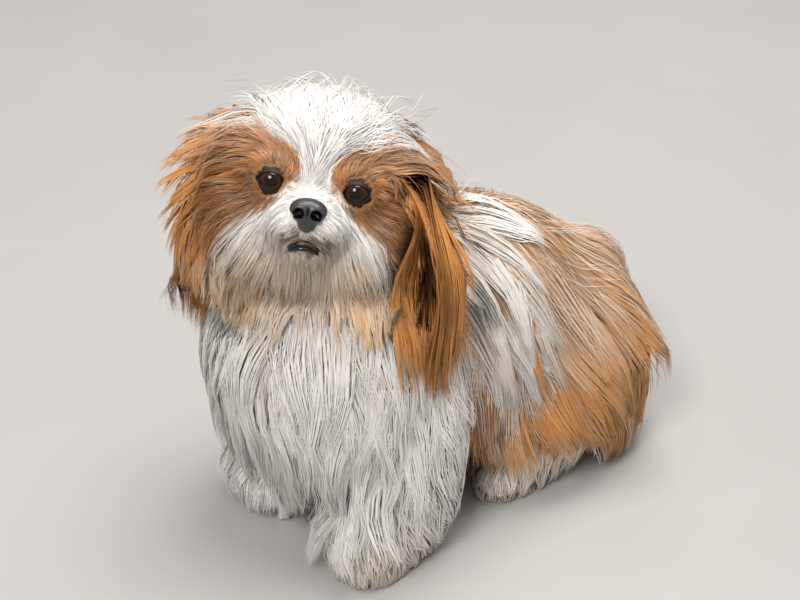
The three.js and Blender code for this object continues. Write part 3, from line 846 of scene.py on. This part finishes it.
class Coat:
    """One region of the coat: how many tufts, how long and wide, and how they lie."""

    # What a coat may say of its own, and the usual value.
    usual = {
        "weight": even(1.0),  # how densely the tufts grow
        "keep": lambda p: np.ones(len(p), bool),  # which roots stay
        "stand": (0.25, 1.05),  # lowest and highest share of the room
        "spread": 0.3,  # how far the lengths differ
        "lean": 0.3,  # how far the clumps turn aside
        "sway": 0.6,  # how soon a tuft takes the lie of the place it passes
        "settle": 0.7,  # how far a tuft that stands off comes down
        "clump": 16,  # tufts to a clump
        "pull": 0.75,  # how far they draw together
        "wave": 1.0,  # in millimetres
        "swing": 0.0,  # how far the tones differ beyond the usual
    }

    def __init__(self, name, part, count, length, width, room, over, steps, **more):
        self.name, self.part, self.count, self.over, self.steps = name, part, count, over, steps
        self.length, self.width, self.room = (
            size if callable(size) else even(size) for size in (length, width, room)
        )
        marks, self.lie, lift = PARTS[part]
        for key, value in {"lift": lift, "marks": marks, **self.usual, **more}.items():
            setattr(self, key, value)

    def comb(self, skin, seed):
        """Tufts that are rooted, combed, waved and then drawn together in clumps."""
        random = np.random.default_rng(SEED + seed)
        count = self.count
        roots, uv = skin.scatter(self.part, count, self.weight, random)
        kept = self.keep(roots)
        roots, uv = roots[kept], uv[kept]
        leaders = random.permutation(len(roots))[: max(1, len(roots) // self.clump)]
        order = np.argsort(nearest_of(roots, roots[leaders]), kind="stable")
        roots, uv = roots[order], uv[order]
        first = np.argsort(order)[leaders]
        group = nearest_of(roots, roots[first])
        spread = random.random((4, len(leaders)))[:, group]
        own = random.random((4, len(roots)))
        length = self.length(roots) * (1 + self.spread * (1.3 * spread[0] + 0.7 * own[0] - 1))
        low, high = self.stand
        stand = low + (high - low) * np.clip(0.75 * spread[1] + 0.25 * own[1], 0, 1)
        lines = self.grow(roots, length, stand, (spread[2] - 0.5) * self.lean)
        t = np.linspace(0, 1, self.steps + 1)[None, :, None]
        side = unit(np.cross(lines[:, -1] - lines[:, 0], self.over.outward(roots)))
        phase = 2 * pi * (spread[3] + 0.12 * own[2])[:, None, None]
        curl = np.sin(phase + 2 * pi * 1.3 * t) * t * self.wave
        lines = lines + side[:, None] * curl
        lead = lines[first][group]
        hold = self.pull * smooth(t, 0.05, 0.95) * (0.75 + 0.25 * own[3][:, None, None])
        apart = (roots - roots[first][group])[:, None] * 0.3 * (1 - t)
        lines = lines * (1 - hold) + (lead + apart) * hold
        lines[:, :, 2] = np.maximum(lines[:, :, 2], TUFT_FLOOR)
        marks = self.marks(roots, spread[0] * 0.8 + own[2] * 0.2)
        swing = 0.20 + self.swing + 0.20 * marks[:, 0]
        tone = 1.0 + swing * (1.2 * spread[1] + 0.8 * own[3] - 1.15)
        twist = (own[0] - 0.5) * 0.7
        self.build(lines, self.width(roots) * (0.7 + 0.6 * own[1]), uv, marks, tone, twist)

    def grow(self, roots, length, stand, lean):
        """Lines that start at the roots, run along the lie of the coat and keep a height over a form."""
        over = self.over
        at = roots.copy()
        before = None
        lines = [roots - over.outward(roots) * ROOT_DEPTH]
        for k in range(1, self.steps + 1):
            t = k / self.steps
            normal = over.outward(at)
            way = self.lie(at, normal)
            way = way + np.cross(normal, way) * lean[:, None]
            way = unit(way - normal * dot(way, normal))
            hanging = normal[:, 2:] < STEEPEST
            way = unit(np.where(hanging, way * 0.4 + DOWN * 0.6, way))
            if before is not None:
                way = unit(before * (1 - self.sway) + way * self.sway)
            before = way
            at = at + way * (length / self.steps)[:, None]
            height = stand * t**RISE * (1 - DROOP * t**3) * np.maximum(self.room(at), LEAST_ROOM)
            off = height + self.lift(at) * min(1, 2.5 * t) ** RISE - over(at)
            fall = np.where(hanging[:, 0], 0.0, self.settle)
            at = at + over.outward(at) * np.where(off > 0, off, off * fall)[:, None]
            at[:, 2] = np.maximum(at[:, 2], 1.0 + 2.5 * (1 - t))
            lines.append(at)
        return np.stack(lines, axis=1)

    def build(self, lines, width, uv, marks, tone, twist):
        """Closed, tapered, three-sided tufts along the lines."""
        count, rings = lines.shape[0], self.steps
        t = np.linspace(0, 1, rings + 1)[None, :, None]
        along = unit(np.gradient(lines, axis=1))
        normal = self.over.outward(lines[:, :-1].reshape(-1, 3)).reshape(count, rings, 3)
        side = unit(np.cross(along[:, :-1], normal))
        out = np.cross(side, along[:, :-1])
        c, s = np.cos(twist)[:, None, None], np.sin(twist)[:, None, None]
        side, out = side * c + out * s, out * c - side * s
        half = width[:, None, None] * (0.65 + 0.35 * np.sin(pi * np.minimum(1, t * 1.4))) * (1 - t**2.5) / 2
        half = half[:, :-1]
        body = lines[:, :-1]
        low = out * half * 0.25
        sides = [body + side * half - low, body - side * half - low, body + out * half * 0.5]
        fanned = [unit(way + normal) for way in (side * 0.45, -side * 0.45, out * 0.4)]
        points, normals = (
            np.concatenate([np.stack(rows, axis=2).reshape(count, rings * 3, 3), tip[:, -1:]], axis=1)
            for rows, tip in ((sides, lines), (fanned, normal))
        )
        corners = points.shape[1]
        quads = np.roll(ring_faces(rings, 3, False)[:, ::-1], 1, axis=1)
        last = 3 * (rings - 1)
        tips = np.array([(last + j, last + (j + 1) % 3, 3 * rings) for j in range(3)] + [(0, 2, 1)])
        shared = np.append(np.repeat(t[0, :-1, 0], 3), 1.0)
        across = np.append(np.tile((0.0, 1.0, 0.5), rings), 0.5)
        patch = np.stack([across, shared], axis=1) * PATCH - PATCH / 2
        marks = np.append(marks, np.ones((count, 1)), axis=1)
        triangles = 2 * len(quads) + len(tips)
        chunks = np.array_split(np.arange(count), -(-count * triangles // TRIANGLES_A_PIECE))
        for number, rows in enumerate(chunks):
            base = np.arange(len(rows))[:, None, None] * corners
            spots = np.clip(uv[rows, None] + patch, 0, 1)
            attributes = {
                "marks": np.repeat(marks[rows], corners, axis=0),
                "along": np.tile(shared, len(rows)),
                "tone": np.repeat(tone[rows], corners),
            }
            make_mesh(
                "coat_%s_%d" % (self.name, number + 1),
                points[rows].reshape(-1, 3),
                [(base + block).reshape(-1, block.shape[1]) for block in (quads, tips)],
                HAIR_MATERIAL,
                np.concatenate([spots[:, block.ravel()].reshape(-1, 2) for block in (quads, tips)]),
                attributes,
                normals[rows].reshape(-1, 3),
            )


def chest(p):
    return fade(p[:, 1], -48, -18)


# The orange coat ends in a hem above the white hair of the hind foot.
def flank_length(p):
    y, z = p[:, 1], p[:, 2]
    hem = 40 * smooth(y, -10, 15) * fade(y, 104, 122)
    fall = np.where(z > hem + 8, z - hem, z) * 0.85 + 13
    return np.minimum(np.interp(y, (-60, 0), (70, 118)), fall)


def flank_room(p):
    low = fade(p[:, 2], 10, 90)
    rear = smooth(p[:, 1], 60, 110)
    top = smooth(p[:, 2], 150, 190)
    return torso_coat(p) * HAIR_SHARE + 7 * low * rear + 2 * top


def chest_room(p):
    right = fade(p[:, 0], -75, -35) * smooth(p[:, 2], 70, 120)
    return torso_coat(p) * HAIR_SHARE + 4 * right


def head_room(p):
    q = to_head(p)
    side = smooth(np.abs(q[:, 0]), 34, 50)
    return head_coat(q) * HAIR_SHARE * (0.55 + 0.5 * side) + 1.4 * muzzle(q)


def ear_length(p):
    end = np.where(to_head(p)[:, 0] > 0, 172, 180)
    return np.clip((p[:, 2] - end) * 1.05 + 8, 24, 150)


def face_length(p):
    q = to_head(p)
    crown = smooth(q[:, 2], 10, 50)
    pad = muzzle(q) * (0.25 + 0.75 * smooth(np.abs(q[:, 0]), 4, 13))
    low = smooth(-q[:, 2], 8, 40) * smooth(np.abs(q[:, 0]), 14, 34)
    return 5.5 + furred(q) ** 0.7 * (44 + 4 * crown - 14 * low) + 11 * pad + head_lift(p)


def nose_distance(q):
    return np.sqrt(q[:, 0] ** 2 + (q[:, 1] - NOSE_AT[1]) ** 2 + (q[:, 2] - NOSE_AT[2]) ** 2)


def clear_of_features(p):
    q = to_head(p)
    eye = np.hypot((np.abs(q[:, 0]) - EYE_X) / 9.8, (q[:, 2] + 0.6) / 7.1)
    mouth = np.hypot(q[:, 0] / 10.5, (q[:, 2] - MOUTH_AT[2] - 0.3) / 3.5)
    front = q[:, 1] < -20
    outside = (nose_distance(q) > 9.8) & (eye_distance(q) > EYE_RADIUS + 1.5)
    return outside & ~(front & ((eye < 1) | (mouth < 1)))


def face_weight(p):
    q = to_head(p)
    bare = fade(furred(q), 0.2, 0.5)
    rim = fade(eye_distance(q), 12, 20)
    return bare * (1 + 1.2 * muzzle(q) + 1.5 * rim) * (eye_distance(q) > EYE_RADIUS + 1.5)


# Broad flat tufts close over one another, so that no gap in the coat shows the skin.
def underfur(part, count, length, width, over, **more):
    return Coat(
        "underfur_" + part, part, count, length, width, LEAST_ROOM, over, 3,
        lift=lambda p: PARTS[part][2](p) * 0.92,
        stand=(0.0, 1.0), lean=0.4, clump=4, pull=0.2, wave=0.5, swing=-0.12, **more,
    )


def flank_weight(p):
    return (0.35 + smooth(p[:, 2], 5, 60)) * (1 - chest(p))


def ear_weight(p):
    return (1 + 2 * smooth(p[:, 2], 240, 290)) * smooth(np.abs(to_head(p)[:, 0]), 40, 56)


def tress_weight(p):
    return smooth(p[:, 2], 165, 190) * smooth(p[:, 1], -15, 5) * fade(p[:, 1], 28, 52)


def build_coats(skin):
    whole, over_head, over_ear, over_tail = (
        Grid(form, OVER_STEP) for form in (skin_form, head_over, ear_over, tail_over)
    )
    coats = [
        Coat(
            "flank", "torso", 12_700, flank_length, 1.0, flank_room, whole, 5,
            weight=flank_weight, stand=(0.3, 1.05), lean=0.2, clump=26, pull=0.5,
        ),
        Coat(
            "chest", "torso", 7_500, lambda p: np.minimum(98, p[:, 2] * 0.9 + 14),
            1.0, chest_room, whole, 5,
            weight=chest, stand=(0.5, 1.2), lean=0.5, clump=22, pull=0.62, wave=3.4,
        ),
        Coat("neck", "neck", 1_500, 56.0, 1.4, NECK_COAT * HAIR_SHARE, whole, 5, wave=2.0),
        Coat(
            "head", "head", 9_200, face_length, lambda p: 0.55 + 0.55 * furred(to_head(p)),
            head_room, over_head, 5,
            weight=lambda p: smooth(furred(to_head(p)), 0.2, 0.5), keep=lambda p: over_head(p) > -3,
            stand=(0.2, 1.0), lean=0.5, clump=13, pull=0.6, wave=2.2,
        ),
        Coat(
            "face", "head", 7_700, face_length, lambda p: 0.42 + 0.4 * furred(to_head(p)),
            head_room, over_head, 3,
            weight=face_weight, keep=clear_of_features, clump=8, pull=0.3, wave=0.5, swing=0.16,
        ),
        Coat(
            "foreleg", "foreleg", 4_400, lambda p: np.interp(p[:, 2], (4, 20, 60), (13, 22, 38)),
            lambda p: np.interp(p[:, 2], (4, 40), (0.8, 1.1)), lambda p: foreleg_coat(p) * HAIR_SHARE,
            whole, 4,
            weight=lambda p: 1 + 1.2 * fade(p[:, 2], 12, 40),
            lean=0.9, clump=9, pull=0.7, wave=2.0,
        ),
        Coat(
            "hindleg", "hindleg", 2_200, lambda p: np.interp(p[:, 2], (4, 30), (10, 24)),
            1.0, HIND_COAT * HAIR_SHARE + 2, whole, 4, clump=10, wave=1.5,
        ),
        Coat(
            "ear", "ear", 3_300, ear_length, 1.2, 6.0, over_ear, 6,
            weight=ear_weight, spread=0.22, lean=0.12, sway=0.85, settle=0.08, pull=0.6, wave=0.8,
        ),
        Coat("tail", "tail", 1_500, 82.0, 1.05, 9.0, over_tail, 6, clump=14, wave=1.5),
        Coat(
            "tress", "torso", 1_500, 125.0, 1.1, lambda p: flank_room(p) + 3, whole, 6,
            weight=tress_weight, stand=(0.9, 1.12), spread=0.45, clump=70, pull=0.92, wave=3.0,
            marks=tress_marks,
        ),
        Coat(
            "wisps", "head", 420, 58.0, 0.4, 11.0, over_head, 6,
            weight=lambda p: smooth(to_head(p)[:, 2], 5, 30),
            stand=(0.3, 1.5), spread=0.5, lean=1.6, clump=3, pull=0.3, wave=5.0,
        ),
        Coat(
            "back_wisps", "torso", 360, 80.0, 0.4, 10.0, whole, 6,
            weight=lambda p: smooth(p[:, 2], 150, 190),
            stand=(0.4, 1.5), spread=0.5, lean=1.4, clump=3, pull=0.3, wave=6.0,
            marks=tress_marks,
        ),
        underfur(
            "torso", 5_000, lambda p: flank_length(p) * 0.55, 4.6, whole,
            weight=lambda p: 1 + 0.8 * chest(p),
        ),
        underfur("neck", 500, 36.0, 4.0, whole),
        underfur(
            "head", 2_600, lambda p: face_length(p) * 0.75, 2.6, over_head,
            weight=lambda p: smooth(head_lift(p), 0.5, 3.0),
            keep=lambda p: (over_head(p) > -3) & (head_lift(p) > 1.2),
        ),
        underfur("foreleg", 900, lambda p: np.interp(p[:, 2], (4, 60), (12, 30)), 3.0, whole),
    ]
    for seed, coat in enumerate(coats):
        coat.comb(skin, seed)


# The front of the face at a place seen from ahead, as a point in the head's frame.
def on_face(x, z, field, start=-30.0):
    x, z = np.broadcast_arrays(np.asarray(x, float), np.asarray(z, float))
    inside, outside = np.full(x.shape, start), np.full(x.shape, -95.0)
    for _ in range(24):
        half = (inside + outside) / 2
        hidden = field(from_head(vector(x, half, z))) < 0
        inside, outside = np.where(hidden, half, inside), np.where(hidden, outside, half)
    return vector(x, outside, z)


def ring_faces(rows, columns, closed):
    faces = []
    for i in range(rows if closed else rows - 1):
        for j in range(columns):
            a, b = i * columns + j, i * columns + (j + 1) % columns
            c, d = (((i + 1) % rows) * columns + k % columns for k in (j + 1, j))
            faces.append((a, d, c, b))
    return np.array(faces)


def cap_faces(rows, columns):
    last = (rows - 1) * columns
    return [np.arange(columns)[None], (np.arange(columns)[::-1] + last)[None]]


def tube_faces(rows, columns, flipped):
    faces = [ring_faces(rows, columns, False), *cap_faces(rows, columns)]
    return [block[:, ::-1] for block in faces] if flipped else faces


# A ball whose front bulges by half a millimetre, as a cornea does.
def build_eye(side, s, material):
    columns, rows = 64, 48
    polar = np.linspace(0.02, pi - 0.02, rows)[:, None]
    angle = circle(columns)[None]
    bulge = EYE_RADIUS + 0.5 * fade(polar, 0.45, 0.75)
    x, z = bulge * np.sin(polar) * np.cos(angle), bulge * np.sin(polar) * np.sin(angle)
    points = vector(x + s * EYE_X, EYE_Y - bulge * np.cos(polar), z).reshape(-1, 3)
    faces = tube_faces(rows, columns, False)
    ring = np.repeat(polar[:, 0] / 1.2, columns)
    eye = make_mesh(
        "eyeball_" + side, from_head(points), faces, material, None, {"ring": np.clip(ring, 0, 1)}
    )
    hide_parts("eye_" + side)


# Lids: a closed band round an almond opening, with a rounded black rim. Each ring of the
# profile has its scale and its height over the eyeball and, farther out, over the face.
def build_lids(side, s):
    columns = 56
    angle = circle(columns)
    half_width, upper, lower = 9.2, 6.2, 5.8
    height = np.where(np.sin(angle) > 0, upper, lower)
    x0, z0 = half_width * np.cos(angle), height * np.sin(angle) * np.abs(np.sin(angle)) ** 0.3
    tilt = radians(8) * s
    x0, z0 = x0 * np.cos(tilt) - z0 * np.sin(tilt), x0 * np.sin(tilt) + z0 * np.cos(tilt)
    rings = []
    scales = (1.42, 1.08, 1.0, 0.99, 1.02, 1.06, 1.12, 1.2, 1.3, 1.42)
    heights = (-3.0, -0.5, 0.2, 0.7, 1.0, 1.1, 1.0, 0.9, 0.6, -1.6)
    for scale, lift in zip(scales, heights):
        x, z = x0 * scale, z0 * scale * (1 + 0.32 * smooth(np.full(columns, scale), 1.08, 1.4))
        ball = EYE_RADIUS + 0.2
        sphere = EYE_Y - np.sqrt(np.maximum(ball**2 - x**2 - z**2, 4.0))
        face = on_face(x + s * EYE_X, z, skin_form, EYE_Y)[:, 1]
        share = smooth(np.full(columns, scale), 1.1, 1.45)
        y = sphere * (1 - share) + np.minimum(face, sphere) * share - lift
        rings.append(vector(x + s * EYE_X, y, z))
    points = np.concatenate(rings)
    faces = ring_faces(len(scales), columns, True)
    make_mesh("lids_" + side, from_head(points), [faces], LEATHER["eye_rim"])


def tube(name, centre, radius, material, columns=12):
    """A closed tube in the head's frame that tapers to both ends."""
    along = unit(np.gradient(centre, axis=0))
    across = unit(np.cross(along, (0, 1, 0.01)))
    out = np.cross(along, across)
    angle = circle(columns)
    ring = across[:, None] * np.cos(angle)[:, None] + out[:, None] * np.sin(angle)[:, None]
    points = centre[:, None] + ring * radius[:, None, None]
    rows = len(centre)
    return make_mesh(name, from_head(points.reshape(-1, 3)), tube_faces(rows, columns, True), material)


# The mouth is slightly open: a dark wet lower lip, the pink edge of the upper one, and painted shade in the
# opening between them.
def build_mouth():
    t = np.linspace(-1, 1, 29)
    taper = np.sqrt(np.maximum(1 - np.abs(t) ** 3, 0.02))
    z = MOUTH_AT[2]
    parts = (
        ("lip_upper", 11.5, z + 2.9 - 7.0 * t**2, 0.2, 0.8, LEATHER["lip"]),
        # Painted shade: the black tube set back between the lips stands in for the shade inside the open
        # mouth.
        ("mouth_gap_shade", 10.5, z + 0.4 - 5.0 * t**2, -0.9, 1.9, LEATHER["lip"]),
        ("lip_pink", 5.0, z + 1.7 - 1.0 * t**2, 0.3, 0.8, LEATHER["lip_edge"]),
        ("lip_lower", 10.0, z - 2.2 - 3.4 * t**2, 0.9, 1.5, LEATHER["lip"]),
    )
    for name, reach, height, lift, radius, material in parts:
        centre = on_face(t * reach, height, skin_form)
        centre[:, 1] -= lift
        tube(name, centre, radius * taper, material)


# The nose leather, with a groove down its middle and two nostrils that run out to a slit.
def build_nose():
    _, y, z = NOSE_AT
    leather = blend(
        3,
        ellipsoid((0, y, z + 1), (12.0, 7, 7.5)),
        ellipsoid((0, y + 1, z - 7), (6.5, 6.5, 7)),
        ellipsoid((5.6, y - 3, z - 0.5), (5.8, 4.8, 6)),
        ellipsoid((-5.6, y - 3, z - 0.5), (5.8, 4.8, 6)),
    )
    pits = [ellipsoid((0, y - 8.6, z - 3), (0.7, 3.0, 9))]
    for _, s in SIDES:
        pits.append(ellipsoid((s * 5.7, y - 7.0, z - 1.8), (3.7, 6.5, 3.6)))
        pits.append(ellipsoid((s * 9.6, y - 4.6, z - 3.6), (3.4, 4.4, 1.5)))

    def form(p):
        cut = merged(1.0, [pit(p) for pit in pits])
        return -merged(0.8, [-leather(p), cut])

    middle = np.array(NOSE_AT)
    grid = Grid(form, 0.6, middle - (15, 12, 14), middle + (15, 13, 11))
    points, quads = surface(grid, 1)
    # Painted shade: "pit" rises inside the cuts of the nostrils, their slits and the groove, and the
    # leather darkens there to near black.
    pit = smooth(-leather(points), 0.3, 1.3)
    nose = make_mesh("nose_tip", from_head(points), [quads], LEATHER["nose_leather"], None, {"pit": pit})
    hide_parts("nose")


def build_claws():
    steps, columns = 7, 8
    t = np.linspace(0, 1, steps)
    feet = [(s * PAW_SPREAD, PAW_FRONT[side] - 10, (-1.5, -0.5, 0.5, 1.5), 9, side) for side, s in SIDES]
    feet += [(s * 55 + 5, 62 - 27, (-1, 0, 1), 8, "hind_" + side) for side, s in SIDES]
    for x, y, toes, gap, title in feet:
        for i, k in enumerate(toes):
            start = np.array([x + k * gap, y + 3 * k**2, 7.0])
            centre = start + vector(0, -7 * t, -4.5 * t**2)
            radius = 1.7 * np.sqrt(1 - 0.97 * t)
            angle = circle(columns)
            ring = vector(np.cos(angle), 0, np.sin(angle))
            points = (centre[:, None] + ring * radius[:, None, None]).reshape(-1, 3)
            name = "claw_%s_%d" % (title, i + 1)
            make_mesh(name, points, tube_faces(steps, columns, True), LEATHER["claw"])


def build_stage():
    nodes = Nodes("floor_pale")
    tint = nodes.mix(nodes.noise(6.0), (0.44, 0.43, 0.415, 1), (0.50, 0.49, 0.475, 1))
    nodes.finish(tint, 0.75)
    bpy.ops.mesh.primitive_plane_add(size=12)
    floor = bpy.context.object
    floor.name = "floor"
    floor.data.materials.append(nodes.material)


def add_light(name, place, power, size, colour):
    lamp = bpy.data.lights.new(name, "AREA")
    lamp.shape = "DISK"
    lamp.energy = power
    lamp.size = size
    lamp.color = colour
    link(name, lamp).matrix_world = look(np.array(place), np.array((0, 0, 0.2)))


def look(place, aim):
    forward = unit(aim - place)
    right = unit(np.cross(forward, (0, 0, 1)))
    up = np.cross(right, forward)
    matrix = np.eye(4)
    matrix[:3, :3] = np.stack([right, up, -forward], axis=1)
    matrix[:3, 3] = place
    return Matrix(matrix.tolist())


def build_view():
    camera = link("camera", bpy.data.cameras.new("camera"))
    camera.data.lens = LENS
    place = to_metres(CAMERA_AT)
    turned, raised = radians(AZIMUTH), radians(ELEVATION)
    forward = (-np.sin(turned) * np.cos(raised), np.cos(turned) * np.cos(raised), -np.sin(raised))
    camera.matrix_world = look(place, place + np.array(forward))
    bpy.context.scene.camera = camera
    add_light("key", (0.6, -1.3, 2.0), 30, 0.75, (1.0, 0.985, 0.96))
    add_light("top", (0.0, 0.4, 2.4), 46, 1.4, (1.0, 0.99, 0.975))
    world = bpy.data.worlds.new("studio")
    world.use_nodes = True
    sky = world.node_tree.nodes["Background"].inputs
    sky["Color"].default_value = (1.0, 0.985, 0.965, 1)
    sky["Strength"].default_value = 0.42
    bpy.context.scene.world = world
    bpy.context.scene.view_settings.view_transform = "Standard"


def main():
    skin = Skin()
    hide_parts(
        "torso",
        "neck",
        "head",
        *[part + side for part in ("foreleg_", "hindleg_", "ear_") for side, _ in SIDES],
        "tail",
    )
    build_coats(skin)
    brown = eye_material()
    for side, s in SIDES:
        build_eye(side, s, brown)
        build_lids(side, s)
    build_nose()
    build_mouth()
    build_claws()
    build_stage()
    build_view()


main()
